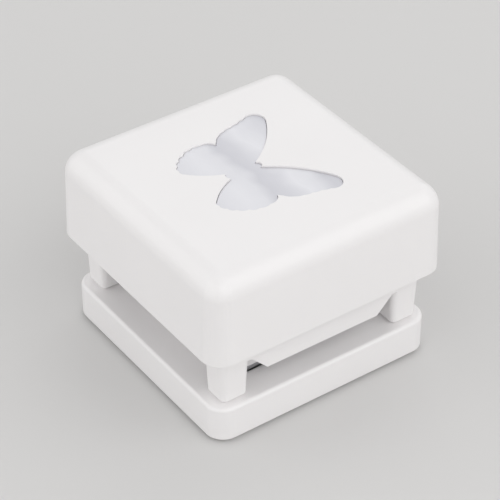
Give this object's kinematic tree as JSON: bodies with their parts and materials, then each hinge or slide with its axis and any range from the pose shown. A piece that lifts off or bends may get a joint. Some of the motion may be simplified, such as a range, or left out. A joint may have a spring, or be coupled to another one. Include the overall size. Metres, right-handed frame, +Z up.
{
  "type": "craft punch",
  "caption": "Square press-down craft punch: a rounded cap with a butterfly inlay slides on a leg frame that lifts off a slim die base, and cuts a butterfly out of the paper between them.",
  "frame": {"origin": "bottom centre: on the table, under the middle of the rubber feet", "axes": "+Z up, against the pressing direction; +Y the way the butterfly's head points; +X its right wing seen from above"},
  "size_m": [0.062, 0.062, 0.0453],
  "materials": {
    "shell_plastic": "moulded off-white ABS, satin gloss",
    "frame_plastic": "moulded white ABS",
    "ram_plastic": "moulded grey acetal",
    "cover_plastic": "moulded light grey ABS, fine texture",
    "inlay_silver": "thin satin silver sheet",
    "tool_steel": "ground steel",
    "magnet_nickel": "nickel plate",
    "screw_zinc": "zinc plate",
    "spring_steel": "drawn wire",
    "pin_steel": "ground pin",
    "foot_rubber": "matt black rubber"
  },
  "bodies": {
    "base": {"base_shell": "shell_plastic", "die_plate": "tool_steel", "die_screws": "screw_zinc", "base_magnet_front_left": "magnet_nickel", "base_magnet_front_right": "magnet_nickel", "base_magnet_back_right": "magnet_nickel", "base_magnet_back_left": "magnet_nickel", "bottom_cover": "cover_plastic", "cover_screws": "screw_zinc", "rubber_foot_front_left": "foot_rubber", "rubber_foot_front_right": "foot_rubber", "rubber_foot_back_right": "foot_rubber", "rubber_foot_back_left": "foot_rubber"},
    "frame": {"leg_frame": "frame_plastic", "stripper_plate": "tool_steel", "stripper_screws": "screw_zinc", "leg_magnet_front_left": "magnet_nickel", "leg_magnet_front_right": "magnet_nickel", "leg_magnet_back_right": "magnet_nickel", "leg_magnet_back_left": "magnet_nickel", "return_spring_front_left": "spring_steel", "return_spring_front_right": "spring_steel", "return_spring_back_right": "spring_steel", "return_spring_back_left": "spring_steel"},
    "cap": {"cap": "shell_plastic", "butterfly_inlay": "inlay_silver", "ram": "ram_plastic", "punch": "tool_steel", "ram_screws": "screw_zinc", "punch_screws": "screw_zinc", "guide_pin_front_left": "pin_steel", "guide_pin_front_right": "pin_steel", "guide_pin_back_right": "pin_steel", "guide_pin_back_left": "pin_steel", "retaining_clips": "pin_steel"}
  },
  "joints": [
    {"name": "head_lift", "type": "slide", "parent": "base", "child": "frame", "axis": [0, 0, 1], "range_m": [0, 0.04]},
    {"name": "cap_press", "type": "slide", "parent": "frame", "child": "cap", "axis": [0, 0, -1], "range_m": [0, 0.0065], "stiffness_N_per_m": 4000, "springref_m": -0.005, "deforming": ["return_spring_front_left", "return_spring_front_right", "return_spring_back_right", "return_spring_back_left"]}
  ]
}
